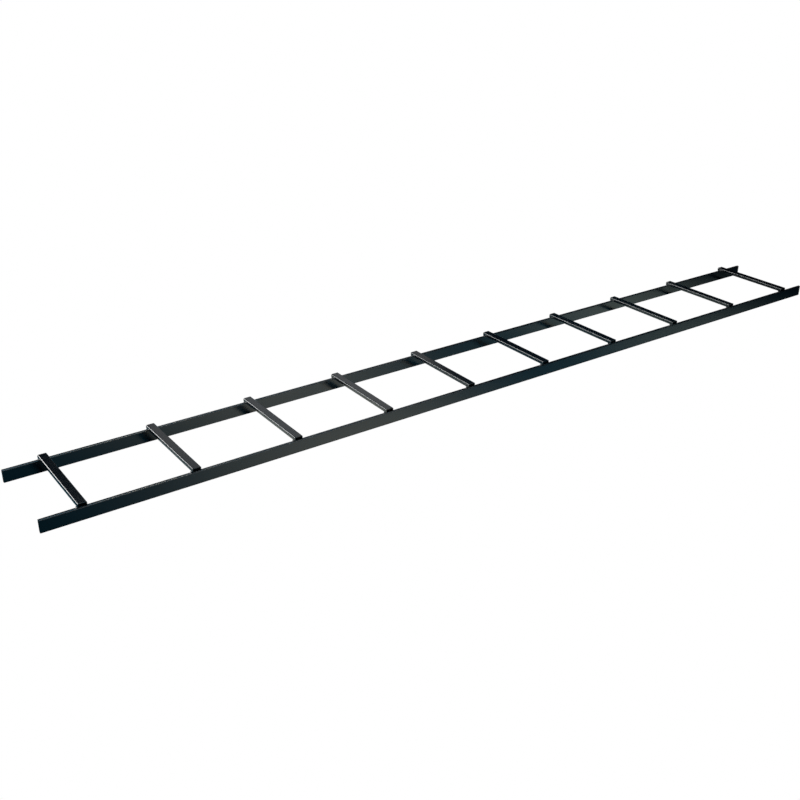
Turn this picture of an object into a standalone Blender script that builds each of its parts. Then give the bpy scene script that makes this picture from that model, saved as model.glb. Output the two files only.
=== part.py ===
"""Straight section of welded cable ladder: two tube side rails, ten tube rungs and their weld beads.

Frame: +X runs along the rails, +Y across them and +Z up. The origin is under the middle of the
section, at the height of the rails' undersides. All sizes are in metres.
"""

import math

import bmesh
import bpy
from mathutils import Matrix, Vector

# Overall size of the section
SECTION_LENGTH = 3.000
SECTION_WIDTH = 0.3048

# Side rails: rectangular steel tube, 1-1/2 in by 3/8 in, standing on its narrow side
RAIL_HEIGHT = 0.0381
RAIL_THICKNESS = 0.009525
RAIL_CORNER_RADIUS = 0.0026

# Rungs: rectangular steel tube, 1 in by 1/2 in, laid flat across the tops of the rails
RUNG_COUNT = 10
RUNG_WIDTH = 0.0254
RUNG_HEIGHT = 0.0127
RUNG_CORNER_RADIUS = 0.0032
FIRST_RUNG_INSET = 0.110

# Both tubes are drawn from the same 16 gauge strip
TUBE_WALL = 0.00165
CORNER_SEGMENTS = 4

# Weld bead: runs up both sides of a rung's foot and passes under it along the rail's inner face
BEAD_RADIUS = 0.0018
BEAD_SIDES = 6
BEAD_BEND_SEGMENTS = 3
BEAD_END_INSET = 0.0022

# Clearance between solids that touch on the real section
JOINT_GAP = 0.0003

COAT_COLOUR = (0.020, 0.024, 0.026, 1.0)
WELD_COLOUR = (0.026, 0.030, 0.032, 1.0)


def clear_scene():
    """Remove every object that the scene already holds."""
    for item in list(bpy.data.objects):
        bpy.data.objects.remove(item, do_unlink=True)


def coat_material(name, colour, roughness):
    """Return a powder-coat material of the given colour and roughness."""
    material = bpy.data.materials.new(name)
    material.use_nodes = True
    shader = material.node_tree.nodes["Principled BSDF"]
    shader.inputs["Base Color"].default_value = colour
    shader.inputs["Metallic"].default_value = 0.0
    shader.inputs["Roughness"].default_value = roughness
    return material


def add_object(name, mesh, material):
    """Put a mesh in the scene as a named object with its own material."""
    mesh.materials.append(material)
    mesh.shade_smooth()
    mesh.set_sharp_from_angle(angle=math.radians(40))
    node = bpy.data.objects.new(name, mesh)
    bpy.context.scene.collection.objects.link(node)
    return node


def rounded_rectangle(width, height, radius):
    """Return the outline of a rectangle with round corners, centred on zero, anticlockwise."""
    outline = []
    centres = [(1, 1), (-1, 1), (-1, -1), (1, -1)]
    for corner, (side_x, side_y) in enumerate(centres):
        centre_x = side_x * (width / 2 - radius)
        centre_y = side_y * (height / 2 - radius)
        for step in range(CORNER_SEGMENTS + 1):
            angle = math.pi / 2 * (corner + step / CORNER_SEGMENTS)
            outline.append((centre_x + radius * math.cos(angle), centre_y + radius * math.sin(angle)))
    return outline


def tube_mesh(name, length, width, height, radius):
    """Return an open-ended rectangular tube along local +Z, centred on the origin."""
    inner_radius = max(radius - TUBE_WALL, TUBE_WALL / 2)
    walls = [
        rounded_rectangle(width, height, radius),
        rounded_rectangle(width - 2 * TUBE_WALL, height - 2 * TUBE_WALL, inner_radius),
    ]
    shape = bmesh.new()
    rings = []
    for outline in walls:
        for end in (-length / 2, length / 2):
            rings.append([shape.verts.new((x, y, end)) for x, y in outline])
    outer_start, outer_end, inner_start, inner_end = rings
    count = len(outer_start)
    for index in range(count):
        following = (index + 1) % count
        for ring_a, ring_b in (
            (outer_start, outer_end),
            (outer_end, inner_end),
            (inner_end, inner_start),
            (inner_start, outer_start),
        ):
            shape.faces.new((ring_a[index], ring_a[following], ring_b[following], ring_b[index]))
    bmesh.ops.recalc_face_normals(shape, faces=shape.faces)
    mesh = bpy.data.meshes.new(name)
    shape.to_mesh(mesh)
    shape.free()
    return mesh


def add_side_rail(name, side):
    """Add one side rail, with side -1 for the front rail and +1 for the back rail."""
    mesh = tube_mesh(name, SECTION_LENGTH, RAIL_HEIGHT, RAIL_THICKNESS, RAIL_CORNER_RADIUS)
    mesh.transform(Matrix(((0, 0, 1), (0, 1, 0), (-1, 0, 0))).to_4x4())
    rail = add_object(name, mesh, coat_material(name + "_coat", COAT_COLOUR, 0.42))
    rail.location = (0, side * (SECTION_WIDTH - RAIL_THICKNESS) / 2, RAIL_HEIGHT / 2)
    return rail


def rung_position(index):
    """Return where along the section the middle of a rung lies, counting from 0."""
    span = SECTION_LENGTH - 2 * FIRST_RUNG_INSET
    return -span / 2 + span * index / (RUNG_COUNT - 1)


def add_rung(index):
    """Add one rung, whose ends are flush with the outer faces of the rails."""
    name = f"rung_{index + 1:02d}"
    mesh = tube_mesh(name, SECTION_WIDTH, RUNG_WIDTH, RUNG_HEIGHT - JOINT_GAP, RUNG_CORNER_RADIUS)
    mesh.transform(Matrix(((1, 0, 0), (0, 0, -1), (0, 1, 0))).to_4x4())
    rung = add_object(name, mesh, coat_material(name + "_coat", COAT_COLOUR, 0.38))
    underside = RAIL_HEIGHT + JOINT_GAP
    rung.location = (rung_position(index), 0, underside + (RUNG_HEIGHT - JOINT_GAP) / 2)
    return rung


def round_corners(corners, radius):
    """Return the path through the corners with each inner corner turned on an arc."""
    path = [corners[0]]
    for before, corner, after in zip(corners, corners[1:], corners[2:]):
        towards_start = (before - corner).normalized()
        towards_end = (after - corner).normalized()
        centre = corner + (towards_start + towards_end) * radius
        for step in range(BEAD_BEND_SEGMENTS + 1):
            angle = math.pi / 2 * step / BEAD_BEND_SEGMENTS
            point = centre - towards_end * radius * math.cos(angle)
            path.append(point - towards_start * radius * math.sin(angle))
    path.append(corners[-1])
    return path


def merge_close(path, spacing):
    """Return the path without points that lie closer to the last one than the spacing."""
    kept = [path[0]]
    for point in path[1:]:
        if (point - kept[-1]).length > spacing:
            kept.append(point)
    return kept


def bead_path(index, side):
    """Return the centre line of one weld bead, from the rung's left side to its right side."""
    stand_off = BEAD_RADIUS + JOINT_GAP
    left = rung_position(index) - RUNG_WIDTH / 2 - stand_off
    right = rung_position(index) + RUNG_WIDTH / 2 + stand_off
    outside = side * (SECTION_WIDTH / 2 - BEAD_END_INSET)
    inside = side * (SECTION_WIDTH / 2 - RAIL_THICKNESS - stand_off)
    above = RAIL_HEIGHT + stand_off
    below = RAIL_HEIGHT - stand_off
    corners = [
        Vector((left, outside, above)),
        Vector((left, inside, above)),
        Vector((left, inside, below)),
        Vector((right, inside, below)),
        Vector((right, inside, above)),
        Vector((right, outside, above)),
    ]
    return merge_close(round_corners(corners, stand_off), BEAD_RADIUS / 10)


def sweep_mesh(name, path, radius, sides):
    """Return a round rod swept along a path, with flat ends."""
    shape = bmesh.new()
    rings = []
    across = Vector((1, 0, 0))
    for index, point in enumerate(path):
        before = path[max(index - 1, 0)]
        after = path[min(index + 1, len(path) - 1)]
        tangent = (after - before).normalized()
        across = (across - tangent * across.dot(tangent)).normalized()
        normal = tangent.cross(across)
        ring = []
        for step in range(sides):
            angle = 2 * math.pi * (step + 0.5) / sides
            offset = across * math.cos(angle) + normal * math.sin(angle)
            ring.append(shape.verts.new(point + offset * radius))
        rings.append(ring)
    for ring_a, ring_b in zip(rings, rings[1:]):
        for step in range(sides):
            following = (step + 1) % sides
            shape.faces.new((ring_a[step], ring_a[following], ring_b[following], ring_b[step]))
    shape.faces.new(rings[0])
    shape.faces.new(rings[-1])
    bmesh.ops.recalc_face_normals(shape, faces=shape.faces)
    mesh = bpy.data.meshes.new(name)
    shape.to_mesh(mesh)
    shape.free()
    return mesh


def add_weld_bead(index, side):
    """Add the weld bead that holds one end of a rung to its rail."""
    place = "front" if side < 0 else "back"
    name = f"weld_{place}_{index + 1:02d}"
    mesh = sweep_mesh(name, bead_path(index, side), BEAD_RADIUS, BEAD_SIDES)
    return add_object(name, mesh, coat_material(name + "_coat", WELD_COLOUR, 0.45))


def build_section():
    """Build the whole ladder section under one empty."""
    clear_scene()
    pieces = [add_side_rail("side_rail_front", -1), add_side_rail("side_rail_back", 1)]
    for index in range(RUNG_COUNT):
        pieces.append(add_rung(index))
        pieces.append(add_weld_bead(index, -1))
        pieces.append(add_weld_bead(index, 1))
    section = bpy.data.objects.new("ladder_section", None)
    bpy.context.scene.collection.objects.link(section)
    for piece in pieces:
        piece.parent = section


build_section()
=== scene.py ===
"""Looks of a welded ladder section: two tube side rails, ten tube rungs and their weld beads.

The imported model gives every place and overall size. The classes below build the tubes and the beads
with Geometry Nodes, coat them in black powder coat, and set up a plain white studio.
"""

import logging
import math
from dataclasses import dataclass, field
from enum import Enum
from typing import Any

import bpy
from mathutils import Euler, Matrix, Vector


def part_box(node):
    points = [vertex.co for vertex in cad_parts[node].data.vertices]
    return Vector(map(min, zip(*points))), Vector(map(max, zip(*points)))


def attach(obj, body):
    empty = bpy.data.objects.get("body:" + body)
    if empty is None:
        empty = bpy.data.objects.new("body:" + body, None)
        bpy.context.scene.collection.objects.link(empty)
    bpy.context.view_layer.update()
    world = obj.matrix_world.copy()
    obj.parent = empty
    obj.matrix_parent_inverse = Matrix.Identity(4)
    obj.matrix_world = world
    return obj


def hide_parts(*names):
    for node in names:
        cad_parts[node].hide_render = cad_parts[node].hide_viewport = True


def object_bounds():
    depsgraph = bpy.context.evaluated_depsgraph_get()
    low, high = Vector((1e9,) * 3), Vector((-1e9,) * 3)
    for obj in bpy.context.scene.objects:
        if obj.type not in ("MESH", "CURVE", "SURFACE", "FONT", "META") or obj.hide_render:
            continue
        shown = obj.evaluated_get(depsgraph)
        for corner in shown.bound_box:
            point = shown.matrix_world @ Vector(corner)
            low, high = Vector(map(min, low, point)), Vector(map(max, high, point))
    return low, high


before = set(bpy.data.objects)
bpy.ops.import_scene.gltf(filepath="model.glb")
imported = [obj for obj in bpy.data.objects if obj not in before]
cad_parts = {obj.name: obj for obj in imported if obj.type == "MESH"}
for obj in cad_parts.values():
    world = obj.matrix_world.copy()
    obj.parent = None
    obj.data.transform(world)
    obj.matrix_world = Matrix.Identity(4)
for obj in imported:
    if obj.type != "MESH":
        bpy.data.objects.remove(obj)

CAD_LOW, CAD_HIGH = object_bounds()

MM = 0.001
BODY = "root"
WHITE = (1.0, 1.0, 1.0, 1.0)

Colour = tuple[float, float, float, float]
Point = tuple[float, float, float]

log = logging.getLogger("ladder_section")


class Side(Enum):
    """The side of the section that a rail or a weld bead is on."""

    FRONT = -1
    BACK = 1

    @property
    def word(self) -> str:
        """Return the side's name as it stands in node names."""
        return self.name.lower()


class Run(Enum):
    """The way a tube runs, with the turn that lays a tube built along Z that way."""

    ALONG = (0.0, math.pi / 2, 0.0)
    ACROSS = (math.pi / 2, 0.0, 0.0)

    @property
    def axis(self) -> str:
        """Return the letter of the axis that the tube runs along."""
        return "X" if self is Run.ALONG else "Y"


@dataclass(frozen=True)
class Span:
    """A stretch of values."""

    low: float
    high: float


@dataclass(frozen=True)
class Grain:
    """A noise pattern, with the span of its values that a mask stretches to run from 0 to 1."""

    per_metre: float
    detail: float
    span: Span = Span(0.0, 1.0)


class NodeSheet:
    """Adds and wires nodes in one tree, for geometry and shaders alike."""

    def __init__(self, tree: bpy.types.NodeTree) -> None:
        """Start on a node tree."""
        self.tree = tree

    def add(self, kind: str, inputs: dict[Any, Any] | None = None, **settings: Any) -> bpy.types.Node:
        """Add a node, set its properties and feed its inputs.

        Args:
            kind: The node's type name.
            inputs: A value or an output socket for each input, by name or by number.
            **settings: The node's own properties.

        Returns:
            The new node.
        """
        node = self.tree.nodes.new(kind)
        for name, value in settings.items():
            setattr(node, name, value)
        for key, value in (inputs or {}).items():
            self.feed(node.inputs[key], value)
        return node

    def feed(self, target: bpy.types.NodeSocket, value: Any) -> None:
        """Link an output socket to an input socket, or set a plain value on it.

        Args:
            target: The input socket.
            value: An output socket, or a value for the socket's default.
        """
        if isinstance(value, bpy.types.NodeSocket):
            self.tree.links.new(value, target)
        else:
            target.default_value = value

    def math(self, operation: str, *values: Any) -> bpy.types.NodeSocket:
        """Add a Math node and return its result."""
        node = self.add("ShaderNodeMath", dict(enumerate(values)), operation=operation)
        return node.outputs[0]

    def vector(self, operation: str, first: Any, second: Any) -> bpy.types.NodeSocket:
        """Add a Vector Math node with two vector operands and return its result."""
        node = self.add("ShaderNodeVectorMath", {0: first, 1: second}, operation=operation)
        return node.outputs[0]

    def scaled(self, vector: Any, factor: Any) -> bpy.types.NodeSocket:
        """Return a vector multiplied by a number."""
        node = self.add("ShaderNodeVectorMath", {"Vector": vector, "Scale": factor}, operation="SCALE")
        return node.outputs[0]

    def combine(self, x: Any, y: Any, z: Any) -> bpy.types.NodeSocket:
        """Return a vector made of three numbers."""
        return self.add("ShaderNodeCombineXYZ", {0: x, 1: y, 2: z}).outputs[0]

    def ramp(self, value: Any, span: Span) -> bpy.types.NodeSocket:
        """Return 0 for a value before a span, 1 past it, and an eased mix in between."""
        inputs = {"Value": value, "From Min": span.low, "From Max": span.high}
        return self.add("ShaderNodeMapRange", inputs, interpolation_type="SMOOTHSTEP").outputs[0]

    def noise(self, place: Any, grain: Grain) -> bpy.types.NodeSocket:
        """Return a noise value between 0 and 1, read at a place."""
        inputs = {"Vector": place, "Scale": grain.per_metre, "Detail": grain.detail}
        return self.add("ShaderNodeTexNoise", inputs).outputs[0]

    def blotches(self, place: Any, grain: Grain) -> bpy.types.NodeSocket:
        """Return a mask of soft-edged blotches from 0 to 1, read at a place."""
        return self.ramp(self.noise(place, grain), grain.span)

    def mix_colour(self, factor: Any, first: Any, second: Any) -> bpy.types.NodeSocket:
        """Return the first colour where the factor is 0, the second where it is 1, and a mix between."""
        # The node's sockets for colours share their names with others, so they are taken by number
        return self.add("ShaderNodeMix", {0: factor, 6: first, 7: second}, data_type="RGBA").outputs[2]

    def mix_value(self, factor: Any, first: Any, second: Any) -> bpy.types.NodeSocket:
        """Return the first number where the factor is 0, the second where it is 1, and a mix between."""
        return self.add("ShaderNodeMix", {0: factor, 2: first, 3: second}, data_type="FLOAT").outputs[0]


SOCKET_TYPES = {
    "float": "NodeSocketFloat",
    "int": "NodeSocketInt",
    "vector": "NodeSocketVector",
    "colour": "NodeSocketColor",
    "material": "NodeSocketMaterial",
    "geometry": "NodeSocketGeometry",
}


class GroupSheet(NodeSheet):
    """A node group with named inputs and outputs."""

    def __init__(self, name: str, kind: str, inputs: dict[str, str], outputs: dict[str, str]) -> None:
        """Make the group and its sockets.

        Args:
            name: The group's name.
            kind: The tree's type name.
            inputs: The type word of each input, by the input's name.
            outputs: The type word of each output, by the output's name.
        """
        super().__init__(bpy.data.node_groups.new(name, kind))
        for in_out, sockets in (("INPUT", inputs), ("OUTPUT", outputs)):
            for socket, word in sockets.items():
                self.tree.interface.new_socket(socket, in_out=in_out, socket_type=SOCKET_TYPES[word])
        self.given = self.tree.nodes.new("NodeGroupInput").outputs
        self.result = self.tree.nodes.new("NodeGroupOutput").inputs

    def put_out(self, name: str, value: Any) -> None:
        """Feed one of the group's outputs by name."""
        self.feed(self.result[name], value)

    def store(self, geometry: Any, name: str, value: Any, kind: str = "FLOAT") -> bpy.types.NodeSocket:
        """Return a geometry with a value stored on its points under a name."""
        inputs = {"Geometry": geometry, "Name": name, "Value": value}
        return self.add("GeometryNodeStoreNamedAttribute", inputs, data_type=kind,
                        domain="POINT").outputs[0]

    def stored(self, name: str, kind: str = "FLOAT") -> bpy.types.NodeSocket:
        """Return a value that is stored on the points under a name."""
        return self.add("GeometryNodeInputNamedAttribute", {"Name": name}, data_type=kind).outputs[0]

    def put_out_coated(self, geometry: Any) -> None:
        """Make a geometry real, coat it, and feed it to the Geometry output.

        Args:
            geometry: The geometry.
        """
        real = self.add("GeometryNodeRealizeInstances", {"Geometry": geometry}).outputs[0]
        inputs = {"Geometry": real, "Material": self.given["Coat"]}
        self.put_out("Geometry", self.add("GeometryNodeSetMaterial", inputs).outputs[0])


def finished_mesh(name: str, base: bpy.types.Mesh, tree: bpy.types.NodeTree,
                  values: dict[str, Any]) -> bpy.types.Object:
    """Run a geometry tree once and keep its result as a plain, smooth mesh object.

    Args:
        name: The finished piece's name.
        base: The mesh that the tree starts from, which may be empty.
        tree: The geometry tree.
        values: The tree's inputs, by name.

    Returns:
        The piece, at the origin and with no modifier.
    """
    piece = bpy.data.objects.new(name, base)
    bpy.context.scene.collection.objects.link(piece)
    modifier = piece.modifiers.new("shape", "NODES")
    modifier.node_group = tree
    for item in tree.interface.items_tree:
        if item.in_out == "INPUT" and item.name in values:
            modifier[item.identifier] = values[item.name]
    graph = bpy.context.evaluated_depsgraph_get()
    graph.update()
    mesh = bpy.data.meshes.new_from_object(piece.evaluated_get(graph), preserve_all_data_layers=True,
                                           depsgraph=graph)
    piece.modifiers.remove(modifier)
    piece.data = mesh
    bpy.data.meshes.remove(base)
    mesh.name = name
    mesh.shade_smooth()
    return piece


CORNERS = 4
# Points that a corner has beyond its number of steps: its arc's last one, and a support on each side
POINTS_PAST_STEPS = 3
# Added to a whole number before it is compared or rounded down, so that rounding errors don't count
GUARD = 0.5


def outline_group() -> bpy.types.NodeTree:
    """Build the group that places one point of a rectangle with round corners.

    A corner takes its arc's points and one more on each side, just past the arc, which keeps the flats
    truly flat when they are shaded smooth.

    Returns:
        The group.
    """
    sheet = GroupSheet(
        "Rounded outline", "GeometryNodeTree",
        {"Index": "int", "Width": "float", "Height": "float", "Radius": "float", "Steps": "int",
         "Support": "float"},
        {"Point": "vector", "Normal": "vector", "Corner": "float"})
    given = sheet.given
    per_corner = sheet.math("ADD", given["Steps"], POINTS_PAST_STEPS)
    guarded = sheet.math("ADD", given["Index"], GUARD)
    corner = sheet.math("FLOOR", sheet.math("DIVIDE", guarded, per_corner))
    step = sheet.math("SUBTRACT", given["Index"], sheet.math("MULTIPLY", corner, per_corner))
    share = sheet.math("DIVIDE", sheet.math("SUBTRACT", step, 1), given["Steps"])
    share = sheet.add("ShaderNodeClamp", {"Value": share}).outputs[0]
    angle = sheet.math("MULTIPLY", sheet.math("ADD", corner, share), math.pi / 2)
    before = sheet.math("LESS_THAN", step, GUARD)
    after = sheet.math("GREATER_THAN", step, sheet.math("ADD", given["Steps"], 1 + GUARD))
    slide = sheet.math("MULTIPLY", sheet.math("SUBTRACT", after, before), given["Support"])
    cosine = sheet.math("COSINE", angle)
    sine = sheet.math("SINE", angle)
    normal = sheet.combine(cosine, sine, 0)
    tangent = sheet.combine(sheet.math("MULTIPLY", sine, -1), cosine, 0)
    diagonal = sheet.math("MULTIPLY", sheet.math("ADD", corner, 0.5), math.pi / 2)
    centre = []
    for size, way in (("Width", "COSINE"), ("Height", "SINE")):
        half = sheet.math("SUBTRACT", sheet.math("DIVIDE", given[size], 2), given["Radius"])
        centre.append(sheet.math("MULTIPLY", half, sheet.math("SIGN", sheet.math(way, diagonal))))
    point = sheet.vector("ADD", sheet.combine(*centre, 0), sheet.scaled(normal, given["Radius"]))
    sheet.put_out("Point", sheet.vector("ADD", point, sheet.scaled(tangent, slide)))
    sheet.put_out("Normal", normal)
    sheet.put_out("Corner", sheet.math("SINE", sheet.math("MULTIPLY", share, math.pi)))
    return sheet.tree


def tube_shell(sheet: GroupSheet, outline: bpy.types.NodeTree) -> bpy.types.NodeSocket:
    """Lay out the nodes of an open-ended rectangular tube with eased cut edges.

    The wall's long section is itself a rounded outline, which is carried round the tube's own rounded
    outline, so the tube is one closed body.

    Args:
        sheet: The tube's nodes.
        outline: The group that places one point of a rounded outline.

    Returns:
        The tube, standing along Z, with the values that its coat reads.
    """
    given = sheet.given
    around = sheet.math("ADD", given["Corner Steps"], POINTS_PAST_STEPS)
    around = sheet.math("MULTIPLY", around, CORNERS)
    along = sheet.math("ADD", given["Cut Steps"], POINTS_PAST_STEPS)
    along = sheet.math("MULTIPLY", along, CORNERS)
    loop = sheet.add("GeometryNodeCurvePrimitiveCircle", {"Resolution": around}).outputs[0]
    section = sheet.add("GeometryNodeCurvePrimitiveCircle", {"Resolution": along}).outputs[0]
    ring = sheet.add("GeometryNodeCurveToMesh", {"Curve": loop, "Profile Curve": section}).outputs[0]

    index = sheet.add("GeometryNodeInputIndex").outputs[0]
    row = sheet.math("FLOOR", sheet.math("DIVIDE", sheet.math("ADD", index, GUARD), along))
    column = sheet.math("SUBTRACT", index, sheet.math("MULTIPLY", row, along))
    body = sheet.add("GeometryNodeGroup", {
        "Index": row, "Width": given["Width"], "Height": given["Height"],
        "Radius": given["Corner Radius"], "Steps": given["Corner Steps"],
        "Support": given["Support"]}, node_tree=outline)
    wall = sheet.add("GeometryNodeGroup", {
        "Index": column, "Width": given["Wall"], "Height": given["Length"],
        "Radius": given["Cut Radius"], "Steps": given["Cut Steps"],
        "Support": given["Support"]}, node_tree=outline)
    through = sheet.add("ShaderNodeSeparateXYZ", {0: wall.outputs["Point"]}).outputs
    inset = sheet.math("SUBTRACT", through[0], sheet.math("DIVIDE", given["Wall"], 2))
    place = sheet.vector("ADD", body.outputs["Point"], sheet.scaled(body.outputs["Normal"], inset))
    place = sheet.vector("ADD", place, sheet.combine(0, 0, through[1]))
    tube = sheet.add("GeometryNodeSetPosition", {"Geometry": ring, "Position": place}).outputs[0]
    tube = sheet.add("GeometryNodeFlipFaces", {"Mesh": tube}).outputs[0]
    tube = sheet.store(tube, "corner", body.outputs["Corner"])
    tube = sheet.store(tube, "bore", sheet.math("LESS_THAN", through[0], 0))
    return sheet.store(tube, "cut_edge", wall.outputs["Corner"])


def tube_seam(sheet: GroupSheet) -> bpy.types.NodeSocket:
    """Lay out the nodes of the low ridge that the strip's seam weld leaves along the bore.

    Args:
        sheet: The tube's nodes.

    Returns:
        The ridge, lying along Z on the floor of the bore.
    """
    given = sheet.given
    inner = sheet.math("SUBTRACT", sheet.math("DIVIDE", given["Height"], 2), given["Wall"])
    end = sheet.math("SUBTRACT", sheet.math("DIVIDE", given["Length"], 2), given["Wall"])
    bore_floor = sheet.math("MULTIPLY", inner, -1)
    aside = sheet.math("MULTIPLY", given["Width"], given["Seam Offset"])
    line = sheet.add("GeometryNodeCurvePrimitiveLine", {
        "Start": sheet.combine(aside, bore_floor, sheet.math("MULTIPLY", end, -1)),
        "End": sheet.combine(aside, bore_floor, end)}).outputs[0]
    outline = sheet.add("GeometryNodeCurvePrimitiveCircle", {
        "Resolution": given["Seam Sides"],
        "Radius": sheet.math("DIVIDE", given["Seam Width"], 2)}).outputs[0]
    seam = sheet.add("GeometryNodeCurveToMesh", {
        "Curve": line, "Profile Curve": outline, "Fill Caps": True}).outputs[0]
    spot = sheet.add("GeometryNodeInputPosition").outputs[0]
    lifted = sheet.vector("SUBTRACT", spot, sheet.combine(0, bore_floor, 0))
    flattened = sheet.vector("MULTIPLY", lifted, sheet.combine(1, given["Seam Flatness"], 1))
    settled = sheet.vector("ADD", flattened, sheet.combine(0, bore_floor, 0))
    seam = sheet.add("GeometryNodeSetPosition", {"Geometry": seam, "Position": settled}).outputs[0]
    return sheet.store(seam, "bore", 1.0)


def tube_tree(outline: bpy.types.NodeTree) -> bpy.types.NodeTree:
    """Build the tree that makes a rectangular tube and lays it in its place.

    Args:
        outline: The group that places one point of a rounded outline.

    Returns:
        The tree.
    """
    sheet = GroupSheet(
        "Rectangular tube", "GeometryNodeTree",
        {"Length": "float", "Width": "float", "Height": "float", "Corner Radius": "float",
         "Wall": "float", "Cut Radius": "float", "Corner Steps": "int", "Cut Steps": "int",
         "Support": "float", "Seam Width": "float", "Seam Offset": "float", "Seam Flatness": "float",
         "Seam Sides": "int", "Turn": "vector", "Place": "vector", "Coat": "material"},
        {"Geometry": "geometry"})
    given = sheet.given
    shell = tube_shell(sheet, outline)
    seam = tube_seam(sheet)
    joined = sheet.add("GeometryNodeJoinGeometry")
    sheet.feed(joined.inputs[0], seam)
    sheet.feed(joined.inputs[0], shell)
    turn = sheet.add("FunctionNodeEulerToRotation", {0: given["Turn"]}).outputs[0]
    laid = sheet.add("GeometryNodeTransform", {
        "Geometry": joined.outputs[0], "Translation": given["Place"], "Rotation": turn})
    sheet.put_out_coated(laid.outputs[0])
    return sheet.tree


# What bends a bead's ripples into crescents, and what makes it swell and shrink
RIPPLE_BEND = Grain(160.0, 0.0)
BEAD_WANDER = Grain(420.0, 1.0)
NOISE_MIDDLE = 0.5
# How near to its end a bead stops narrowing, as a share of its radius
BEAD_TIP = 0.02


def bead_rod(sheet: GroupSheet) -> bpy.types.NodeSocket:
    """Lay out the nodes of a plain rod along the bead's path.

    Args:
        sheet: The bead's nodes.

    Returns:
        The rod, whose points know how far along the path they are and where its centre line is.
    """
    given = sheet.given
    line = sheet.add("GeometryNodeMeshToCurve", {0: given["Path"]}).outputs[0]
    bent = sheet.add("GeometryNodeFilletCurve", {
        "Curve": line, "Radius": given["Bend Radius"], "Count": given["Bend Steps"]},
        mode="POLY").outputs[0]
    even = sheet.add("GeometryNodeResampleCurve", {"Curve": bent, "Length": given["Spacing"]},
                     mode="LENGTH").outputs[0]
    even = sheet.store(even, "run", sheet.add("GeometryNodeSplineParameter").outputs["Length"])
    even = sheet.store(even, "whole", sheet.add("GeometryNodeSplineLength").outputs["Length"])
    spot = sheet.add("GeometryNodeInputPosition").outputs[0]
    even = sheet.store(even, "centre", spot, "FLOAT_VECTOR")
    ring = sheet.add("GeometryNodeCurvePrimitiveCircle", {
        "Resolution": given["Sides"], "Radius": given["Bead Radius"]}).outputs[0]
    return sheet.add("GeometryNodeCurveToMesh", {
        "Curve": even, "Profile Curve": ring, "Fill Caps": True}).outputs[0]


def bead_tree() -> bpy.types.NodeTree:
    """Build the tree that lays a rippled weld bead along a line of edges.

    Returns:
        The tree.
    """
    sheet = GroupSheet(
        "Weld bead", "GeometryNodeTree",
        {"Path": "geometry", "Bead Radius": "float", "Bend Radius": "float", "Bend Steps": "int",
         "Ripple Pitch": "float", "Ripple Depth": "float", "Unevenness": "float", "Spacing": "float",
         "Sides": "int", "Seed": "int", "Coat": "material"},
        {"Geometry": "geometry"})
    given = sheet.given
    rod = bead_rod(sheet)
    run = sheet.stored("run")
    to_end = sheet.math("MINIMUM", run, sheet.math("SUBTRACT", sheet.stored("whole"), run))
    nearness = sheet.math("DIVIDE", to_end, given["Bead Radius"])
    nearness = sheet.add("ShaderNodeClamp", {"Value": nearness, "Min": BEAD_TIP}).outputs[0]
    falloff = sheet.math("POWER", sheet.math("SUBTRACT", 1, nearness), 2)
    taper = sheet.math("SQRT", sheet.math("SUBTRACT", 1, falloff))
    centre = sheet.stored("centre", "FLOAT_VECTOR")
    spot = sheet.add("GeometryNodeInputPosition").outputs[0]
    outward = sheet.vector("SUBTRACT", spot, centre)
    drawn = sheet.vector("ADD", spot, sheet.scaled(sheet.combine(1, 1, 1), given["Seed"]))
    crescent = sheet.math("MULTIPLY", sheet.noise(drawn, RIPPLE_BEND), given["Ripple Pitch"])
    phase = sheet.math("DIVIDE", sheet.math("ADD", run, crescent), given["Ripple Pitch"])
    wave = sheet.math("ABSOLUTE", sheet.math("SINE", sheet.math("MULTIPLY", phase, math.pi)))
    ripple = sheet.math("MULTIPLY", wave, given["Ripple Depth"])
    wander = sheet.math("SUBTRACT", sheet.noise(drawn, BEAD_WANDER), NOISE_MIDDLE)
    lump = sheet.math("MULTIPLY", wander, given["Unevenness"])
    swell = sheet.math("ADD", sheet.math("ADD", 1, ripple), lump)
    place = sheet.vector("ADD", centre, sheet.scaled(outward, sheet.math("MULTIPLY", taper, swell)))
    bead = sheet.add("GeometryNodeSetPosition", {"Geometry": rod, "Position": place}).outputs[0]
    sheet.put_out_coated(bead)
    return sheet.tree


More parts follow.
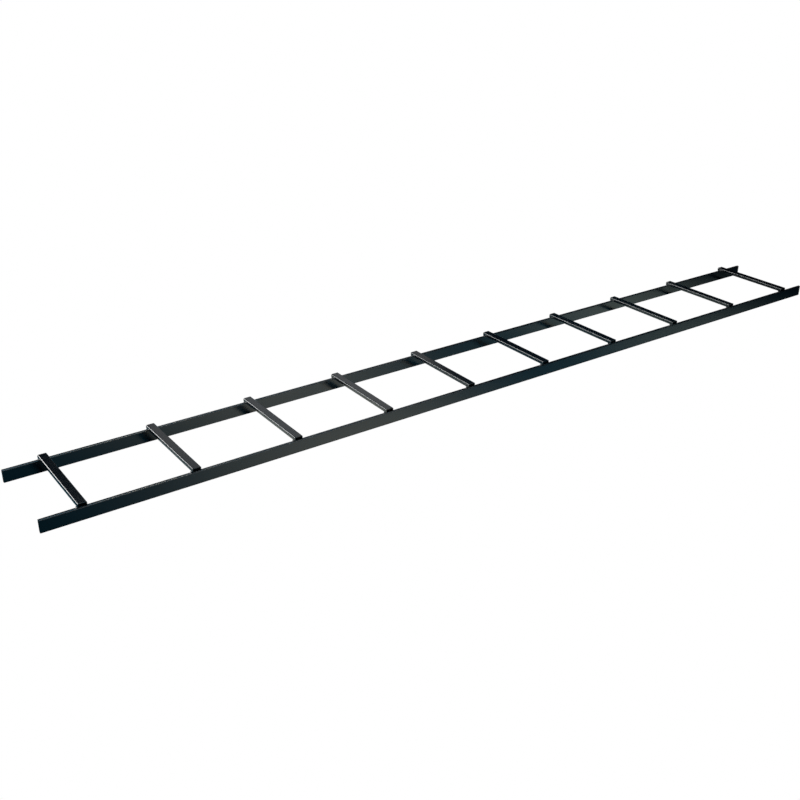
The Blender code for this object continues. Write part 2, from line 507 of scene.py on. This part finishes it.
@dataclass
class CoatEffects:
    """The shader groups that every coated material uses."""

    coarse_peel: Grain = Grain(330.0, 1.0)
    fine_peel: Grain = Grain(1400.0, 2.0)
    broad_shade: Grain = Grain(3.1, 2.0, Span(0.35, 0.65))
    cloudy_shade: Grain = Grain(24.0, 3.0, Span(0.3, 0.7))
    cloud_share: float = 0.4
    dust_film: Grain = Grain(60.0, 5.0, Span(0.35, 0.75))
    dust_slope: Span = Span(0.55, 1.0)
    peel: bpy.types.NodeTree = field(init=False)
    shade: bpy.types.NodeTree = field(init=False)
    dust: bpy.types.NodeTree = field(init=False)

    def __post_init__(self) -> None:
        """Build the groups once."""
        self.peel = self._peel()
        self.shade = self._shade()
        self.dust = self._dust()

    def _peel(self) -> bpy.types.NodeTree:
        """Build the orange-peel surface of cured powder.

        Returns:
            The group.
        """
        sheet = GroupSheet("Orange peel", "ShaderNodeTree",
                           {"Place": "vector", "Fine Share": "float"}, {"Height": "float"})
        given = sheet.given
        coarse = sheet.noise(given["Place"], self.coarse_peel)
        fine = sheet.noise(given["Place"], self.fine_peel)
        sheet.put_out("Height", sheet.mix_value(given["Fine Share"], coarse, fine))
        return sheet.tree

    def _shade(self) -> bpy.types.NodeTree:
        """Build the slow change of colour and gloss that a sprayed coat has.

        Returns:
            The group.
        """
        sheet = GroupSheet("Coat shade", "ShaderNodeTree",
                           {"Place": "vector", "Dark": "colour", "Light": "colour"},
                           {"Colour": "colour", "Sheen": "float"})
        given = sheet.given
        broad = sheet.blotches(given["Place"], self.broad_shade)
        clouds = sheet.blotches(given["Place"], self.cloudy_shade)
        level = sheet.mix_value(self.cloud_share, broad, clouds)
        sheet.put_out("Colour", sheet.mix_colour(level, given["Dark"], given["Light"]))
        sheet.put_out("Sheen", level)
        return sheet.tree

    def _dust(self) -> bpy.types.NodeTree:
        """Build the thin, broken film of dust that lies on faces that look up.

        Returns:
            The group.
        """
        sheet = GroupSheet("Settled dust", "ShaderNodeTree",
                           {"Place": "vector", "Facing": "vector", "Amount": "float"},
                           {"Mask": "float"})
        given = sheet.given
        up = sheet.add("ShaderNodeSeparateXYZ", {0: given["Facing"]}).outputs[2]
        film = sheet.math("MULTIPLY", sheet.ramp(up, self.dust_slope),
                          sheet.blotches(given["Place"], self.dust_film))
        sheet.put_out("Mask", sheet.math("MULTIPLY", film, given["Amount"]))
        return sheet.tree


@dataclass(frozen=True)
class PowderCoat:
    """Black powder coat, which thins out over bare steel inside a tube's bore."""

    name: str
    dark: Colour = (0.0012, 0.0030, 0.0050, 1.0)
    light: Colour = (0.0022, 0.0050, 0.0082, 1.0)
    smooth_roughness: float = 0.17
    rough_roughness: float = 0.22
    refraction: float = 1.5
    peel_depth: float = 0.012 * MM
    peel_strength: float = 0.5
    fine_peel_share: float = 0.3
    dust_colour: Colour = (0.19, 0.185, 0.175, 1.0)
    dust_roughness: float = 0.8
    dust_amount: float = 0.006
    # Lighter colour on corners and cut edges: partly rubbed coat, partly a painted highlight along the
    # edges
    edge_wear_and_highlight_colour: Colour = (0.060, 0.066, 0.070, 1.0)
    edge_span: Span = Span(0.45, 1.0)
    edge_grain: Grain = Grain(85.0, 4.0, Span(0.35, 0.68))
    edge_strength: float = 0.5
    bore_colour: Colour = (0.030, 0.028, 0.027, 1.0)
    bore_roughness: float = 0.62
    bore_axis: str = ""
    bore_half_length: float = 0.0
    overspray_depth: float = 45 * MM
    overspray_start: float = 0.4
    overspray_drift: float = 20 * MM
    overspray_grain: Grain = Grain(40.0, 2.0)

    def build(self, effects: CoatEffects) -> bpy.types.Material:
        """Make the material.

        Args:
            effects: The shader groups that the coats use.

        Returns:
            The material.
        """
        material = bpy.data.materials.new(self.name)
        material.use_nodes = True
        sheet = NodeSheet(material.node_tree)
        place = sheet.add("ShaderNodeTexCoord").outputs["Object"]
        facing = sheet.add("ShaderNodeNewGeometry").outputs["Normal"]
        shade = sheet.add("ShaderNodeGroup", {"Place": place, "Dark": self.dark, "Light": self.light},
                          node_tree=effects.shade).outputs
        peel = sheet.add("ShaderNodeGroup", {"Place": place, "Fine Share": self.fine_peel_share},
                         node_tree=effects.peel).outputs
        dust = sheet.add("ShaderNodeGroup", {"Place": place, "Facing": facing, "Amount": self.dust_amount},
                         node_tree=effects.dust).outputs

        colour = shade["Colour"]
        roughness = sheet.mix_value(shade["Sheen"], self.smooth_roughness, self.rough_roughness)
        if self.bore_axis:
            # Painted highlight mixed with wear: corners and cut edges take the lighter edge colour
            colour = sheet.mix_colour(self._edge_wear_and_highlight_mask(sheet, place), colour, self.edge_wear_and_highlight_colour)
        colour = sheet.mix_colour(dust["Mask"], colour, self.dust_colour)
        roughness = sheet.mix_value(dust["Mask"], roughness, self.dust_roughness)
        if self.bore_axis:
            bare = self._bare_mask(sheet, place)
            colour = sheet.mix_colour(bare, colour, self.bore_colour)
            roughness = sheet.mix_value(bare, roughness, self.bore_roughness)
        bump = sheet.add("ShaderNodeBump", {
            "Height": peel["Height"], "Strength": self.peel_strength, "Distance": self.peel_depth})
        shader = material.node_tree.nodes["Principled BSDF"].inputs
        sheet.feed(shader["Base Color"], colour)
        sheet.feed(shader["Roughness"], roughness)
        sheet.feed(shader["Normal"], bump.outputs[0])
        shader["IOR"].default_value = self.refraction
        return material

    def _edge_wear_and_highlight_mask(self, sheet: NodeSheet, place: bpy.types.NodeSocket) -> bpy.types.NodeSocket:
        """Return where corners and cut edges take a lighter colour: partly coat pulled thin, partly a
        painted highlight.

        Args:
            sheet: The material's nodes.
            place: The place on the object.

        Returns:
            The mask, from 0 to the edge strength.
        """
        corner = sheet.add("ShaderNodeAttribute", attribute_name="corner").outputs["Fac"]
        cut = sheet.add("ShaderNodeAttribute", attribute_name="cut_edge").outputs["Fac"]
        edge = sheet.ramp(sheet.math("MAXIMUM", corner, cut), self.edge_span)
        worn_and_highlit = sheet.math("MULTIPLY", edge, sheet.blotches(place, self.edge_grain))
        return sheet.math("MULTIPLY", worn_and_highlit, self.edge_strength)

    def _bare_mask(self, sheet: NodeSheet, place: bpy.types.NodeSocket) -> bpy.types.NodeSocket:
        """Return where the bore is past the reach of the spray and stays bare.

        Args:
            sheet: The material's nodes.
            place: The place on the object.

        Returns:
            The mask, 0 on the coat and 1 on bare steel.
        """
        bore = sheet.add("ShaderNodeAttribute", attribute_name="bore").outputs["Fac"]
        along = sheet.add("ShaderNodeSeparateXYZ", {0: place}).outputs[self.bore_axis]
        depth = sheet.math("SUBTRACT", self.bore_half_length, sheet.math("ABSOLUTE", along))
        drift = sheet.math("MULTIPLY", sheet.noise(place, self.overspray_grain), self.overspray_drift)
        fade = Span(self.overspray_depth * self.overspray_start, self.overspray_depth)
        past = sheet.ramp(sheet.math("ADD", depth, drift), fade)
        return sheet.math("MULTIPLY", bore, past)


@dataclass
class TubeMaker:
    """Makes rectangular tubes of one wall thickness from the shared tree.

    The seam lies off the middle of the bore by a share of the tube's width, and its ridge is flattened to
    a share of its own width.
    """

    tree: bpy.types.NodeTree
    wall: float = 1.65 * MM
    cut_radius: float = 0.35 * MM
    corner_steps: int = 10
    cut_steps: int = 3
    support: float = 0.25 * MM
    seam_width: float = 1.8 * MM
    seam_offset: float = 0.14
    seam_flatness: float = 0.35
    seam_sides: int = 10

    def make(self, name: str, size: Vector, radius: float, run: Run, place: Vector,
             coat: bpy.types.Material) -> bpy.types.Object:
        """Make one tube.

        Args:
            name: The piece's name.
            size: The tube's width, height and length.
            radius: The outer radius of its corners.
            run: The way it runs.
            place: Its middle.
            coat: Its material.

        Returns:
            The tube.
        """
        values = {
            "Width": size.x, "Height": size.y, "Length": size.z, "Corner Radius": radius,
            "Wall": self.wall, "Cut Radius": self.cut_radius, "Corner Steps": self.corner_steps,
            "Cut Steps": self.cut_steps, "Support": self.support, "Seam Width": self.seam_width,
            "Seam Offset": self.seam_offset, "Seam Flatness": self.seam_flatness,
            "Seam Sides": self.seam_sides, "Turn": run.value, "Place": tuple(place), "Coat": coat,
        }
        tube = finished_mesh(name, bpy.data.meshes.new(name + "_base"), self.tree, values)
        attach(tube, BODY)
        return tube


@dataclass
class SideRail:
    """One side rail, standing on its narrow side."""

    side: Side
    corner_radius: float = 2.6 * MM

    def build(self, maker: TubeMaker, coat: bpy.types.Material) -> bpy.types.Object:
        """Make the rail where its CAD node stands.

        Args:
            maker: The tube maker.
            coat: The rail's material.

        Returns:
            The rail.
        """
        node = f"side_rail_{self.side.word}"
        low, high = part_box(node)
        extent = high - low
        size = Vector((extent.z, extent.y, extent.x))
        rail = maker.make(f"{node}_tube", size, self.corner_radius, Run.ALONG, (low + high) / 2, coat)
        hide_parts(node)
        return rail


@dataclass
class Rung:
    """One rung, laid flat on the rails."""

    number: int
    rail_top: float
    corner_radius: float = 3.2 * MM

    @property
    def node(self) -> str:
        """Return the name of the rung's CAD node."""
        return f"rung_{self.number:02d}"

    def build(self, maker: TubeMaker, coat: bpy.types.Material) -> bpy.types.Object:
        """Make the rung, with its underside down on the rails.

        Args:
            maker: The tube maker.
            coat: The rung's material.

        Returns:
            The rung.
        """
        low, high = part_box(self.node)
        low.z = self.rail_top
        extent = high - low
        size = Vector((extent.x, extent.z, extent.y))
        rung = maker.make(f"{self.node}_tube", size, self.corner_radius, Run.ACROSS,
                          (low + high) / 2, coat)
        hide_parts(self.node)
        return rung


@dataclass
class WeldBead:
    """One bead, from a rung's left side, under it along the rail's inner face, to its right side."""

    number: int
    side: Side
    tree: bpy.types.NodeTree
    stand_off: float = 0.6 * MM
    bend_steps: int = 8
    radius: float = 1.45 * MM
    ripple_pitch: float = 1.15 * MM
    ripple_depth: float = 0.11
    unevenness: float = 0.30
    spacing: float = 0.28 * MM
    sides: int = 18

    def build(self, coat: bpy.types.Material) -> bpy.types.Object:
        """Make the bead round the foot of its rung.

        Args:
            coat: The bead's material.

        Returns:
            The bead.
        """
        node = f"weld_{self.side.word}_{self.number:02d}"
        rung_low, rung_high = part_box(f"rung_{self.number:02d}")
        rail_low, rail_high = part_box(f"side_rail_{self.side.word}")
        bead_low, bead_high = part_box(node)
        front = self.side is Side.FRONT
        outside = bead_low.y if front else bead_high.y
        inside = rail_high.y + self.stand_off if front else rail_low.y - self.stand_off
        left = rung_low.x - self.stand_off
        right = rung_high.x + self.stand_off
        above = rail_high.z + self.stand_off
        below = rail_high.z - self.stand_off
        corners = [(left, outside, above), (left, inside, above), (left, inside, below),
                   (right, inside, below), (right, inside, above), (right, outside, above)]
        path = bpy.data.meshes.new(node + "_path")
        path.from_pydata(corners, [(index, index + 1) for index in range(len(corners) - 1)], [])
        values = {
            "Bead Radius": self.radius, "Bend Radius": self.stand_off, "Bend Steps": self.bend_steps,
            "Ripple Pitch": self.ripple_pitch, "Ripple Depth": self.ripple_depth,
            "Unevenness": self.unevenness, "Spacing": self.spacing, "Sides": self.sides,
            "Seed": self.number * len(Side) + int(front), "Coat": coat,
        }
        bead = finished_mesh(f"{node}_bead", path, self.tree, values)
        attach(bead, BODY)
        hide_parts(node)
        return bead


@dataclass
class LadderSection:
    """The whole welded section."""

    rung_count: int
    weld_smoothest: float = 0.20
    weld_roughest: float = 0.28

    def build(self) -> list[bpy.types.Object]:
        """Make the rails, the rungs and the weld beads.

        Returns:
            The pieces, in the order in which they were made.
        """
        effects = CoatEffects()
        half = (CAD_HIGH - CAD_LOW) / 2
        rail_coat = PowderCoat("rail_coat", bore_axis=Run.ALONG.axis, bore_half_length=half.x)
        rung_coat = PowderCoat("rung_coat", bore_axis=Run.ACROSS.axis, bore_half_length=half.y)
        weld_coat = PowderCoat("weld_coat", smooth_roughness=self.weld_smoothest,
                               rough_roughness=self.weld_roughest)
        rail_material = rail_coat.build(effects)
        rung_material = rung_coat.build(effects)
        weld_material = weld_coat.build(effects)
        maker = TubeMaker(tube_tree(outline_group()))
        pieces = [SideRail(side).build(maker, rail_material) for side in Side]
        rail_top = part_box("side_rail_front")[1].z
        bead_maker = bead_tree()
        for number in range(1, self.rung_count + 1):
            pieces.append(Rung(number, rail_top).build(maker, rung_material))
            for side in Side:
                pieces.append(WeldBead(number, side, bead_maker).build(weld_material))
        return pieces


@dataclass(frozen=True)
class Softbox:
    """A rectangular studio light that looks at a point."""

    name: str
    place: Point
    aim: Point
    size: tuple[float, float]
    power: float
    spread: float = 180.0
    roll: float = 0.0
    colour: tuple[float, float, float] = WHITE[:3]
    flagged: bool = False

    def build(self, ground: bpy.types.Collection) -> None:
        """Make the light and turn it to its aim.

        Args:
            ground: The collection that keeps a flagged light off the ground.
        """
        data = bpy.data.lights.new(self.name, "AREA")
        data.shape = "RECTANGLE"
        data.size, data.size_y = self.size
        data.energy = self.power
        data.spread = math.radians(self.spread)
        data.color = self.colour
        light = bpy.data.objects.new(self.name, data)
        light.location = self.place
        way = Vector(self.aim) - Vector(self.place)
        turn = way.to_track_quat("-Z", "Y").to_matrix() @ Matrix.Rotation(math.radians(self.roll), 3, "Z")
        light.rotation_euler = turn.to_euler()
        if self.flagged:
            light.light_linking.receiver_collection = ground
        bpy.context.scene.collection.objects.link(light)


@dataclass(frozen=True)
class WhiteGround:
    """The ground's finish: white to the eye, pale as it takes light, and clear from below."""

    colour: Colour = (0.80, 0.80, 0.80, 1.0)
    roughness: float = 0.9

    def build(self) -> bpy.types.Material:
        """Make the material.

        Returns:
            The material.
        """
        material = bpy.data.materials.new("white_ground")
        material.use_nodes = True
        sheet = NodeSheet(material.node_tree)
        pale = material.node_tree.nodes["Principled BSDF"]
        pale.inputs["Base Color"].default_value = self.colour
        pale.inputs["Roughness"].default_value = self.roughness
        white = sheet.add("ShaderNodeEmission", {"Color": WHITE, "Strength": 1.0}).outputs[0]
        seen = sheet.add("ShaderNodeLightPath").outputs["Is Camera Ray"]
        lit = sheet.add("ShaderNodeMixShader", {0: seen, 1: pale.outputs[0], 2: white}).outputs[0]
        clear = sheet.add("ShaderNodeBsdfTransparent").outputs[0]
        below = sheet.add("ShaderNodeNewGeometry").outputs["Backfacing"]
        both = sheet.add("ShaderNodeMixShader", {0: below, 1: lit, 2: clear}).outputs[0]
        sheet.feed(material.node_tree.nodes["Material Output"].inputs["Surface"], both)
        return material


@dataclass
class Studio:
    """A white ground, soft lights and the camera."""

    camera_place: Point = (-2.0342, -2.4008, 1.4085)
    camera_yaw: float = 0.6206
    camera_pitch: float = 0.4514
    camera_roll: float = -0.0084
    focal_length: float = 46.90
    sensor: float = 36.0
    view_reach: float = 200.0
    floor_size: float = 120.0
    floor_drop: float = 0.05 * MM
    ambient: float = 0.004
    lights: tuple[Softbox, ...] = (
        Softbox("left_overhead", place=(-0.60, -0.05, 1.8), aim=(-0.60, -0.05, 0.0),
                size=(0.50, 0.45), power=2.8, spread=44.0, colour=(1.0, 0.87, 0.66)),
        Softbox("right_overhead", place=(0.77, 0.20, 1.8), aim=(0.77, 0.20, 0.0),
                size=(0.42, 0.45), power=1.95, spread=42.0, colour=(0.90, 1.0, 0.86)),
        Softbox("cool_overhead", place=(-0.40, 0.0, 2.6), aim=(-0.40, 0.0, 0.0),
                size=(2.2, 1.6), power=6.5, spread=60.0, colour=(0.07, 0.66, 1.0)),
        Softbox("left_back_strip", place=(-2.48, 2.6, 1.62), aim=(-0.4, 0.0, 0.0),
                size=(1.15, 2.0), power=98.0, roll=-36.0, flagged=True),
        Softbox("high_back_strip", place=(-0.75, 2.6, 3.35), aim=(0.6, 0.0, 0.0),
                size=(0.90, 1.2), power=18.0, roll=-44.0, flagged=True),
        Softbox("back_panel", place=(1.48, 4.0, 2.3), aim=(-0.6, 0.0, 0.0),
                size=(2.3, 1.1), power=5.1, flagged=True),
        Softbox("front_panel", place=(0.0, -3.6, 1.5), aim=(0.0, 0.0, 0.0),
                size=(5.0, 1.8), power=72.0, colour=(0.94, 0.98, 1.0), flagged=True),
    )

    def build(self) -> None:
        """Make the studio."""
        self._world()
        ground = self._keep_off(self._floor())
        for light in self.lights:
            light.build(ground)
        self._camera()
        bpy.context.scene.view_settings.view_transform = "Standard"
        log.info("studio: %d lights", len(self.lights))

    def _world(self) -> None:
        """Make the surroundings: white to the eye, softly grey as light."""
        world = bpy.data.worlds.new("studio")
        world.use_nodes = True
        bpy.context.scene.world = world
        sheet = NodeSheet(world.node_tree)
        background = world.node_tree.nodes["Background"]
        background.inputs["Color"].default_value = WHITE
        seen = sheet.add("ShaderNodeLightPath").outputs["Is Camera Ray"]
        sheet.feed(background.inputs["Strength"], sheet.mix_value(seen, self.ambient, 1.0))

    @staticmethod
    def _keep_off(floor: bpy.types.Object) -> bpy.types.Collection:
        """Make the collection that keeps flagged lights off the ground.

        Args:
            floor: The ground.

        Returns:
            The collection.
        """
        flags = bpy.data.collections.new("flagged_ground")
        flags.objects.link(floor)
        flags.collection_objects[0].light_linking.link_state = "EXCLUDE"
        return flags

    def _floor(self) -> bpy.types.Object:
        """Make the ground.

        Returns:
            The ground.
        """
        half = self.floor_size / 2
        mesh = bpy.data.meshes.new("floor")
        mesh.from_pydata([(-half, -half, 0), (half, -half, 0), (half, half, 0), (-half, half, 0)],
                         [], [(0, 1, 2, 3)])
        mesh.materials.append(WhiteGround().build())
        floor = bpy.data.objects.new("floor", mesh)
        floor.location.z = CAD_LOW.z - self.floor_drop
        bpy.context.scene.collection.objects.link(floor)
        return floor

    def _camera(self) -> None:
        """Place the camera."""
        data = bpy.data.cameras.new("camera")
        data.lens = self.focal_length
        data.sensor_width = self.sensor
        data.clip_end = self.view_reach
        camera = bpy.data.objects.new("camera", data)
        aim = Euler((math.pi / 2 - self.camera_pitch, 0.0, -self.camera_yaw)).to_matrix()
        turn = aim @ Matrix.Rotation(-self.camera_roll, 3, "Z")
        camera.location = self.camera_place
        camera.rotation_euler = turn.to_euler()
        bpy.context.scene.collection.objects.link(camera)
        bpy.context.scene.camera = camera


# Where an object's bound_box holds its highest corner, the first one being its lowest
HIGHEST_CORNER = 6


def measured(piece: bpy.types.Object) -> Vector:
    """Return a piece's size along X, Y and Z."""
    corners = piece.bound_box
    return Vector(corners[HIGHEST_CORNER]) - Vector(corners[0])


def main() -> None:
    """Build the section and the studio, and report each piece."""
    logging.basicConfig(level=logging.INFO, format="%(name)s: %(message)s")
    rung_count = sum(name.startswith("rung_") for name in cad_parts)
    for piece in LadderSection(rung_count).build():
        log.info("%s: %.1f x %.1f x %.1f mm", piece.name, *(measured(piece) / MM))
    Studio().build()


if __name__ == "__main__":
    main()
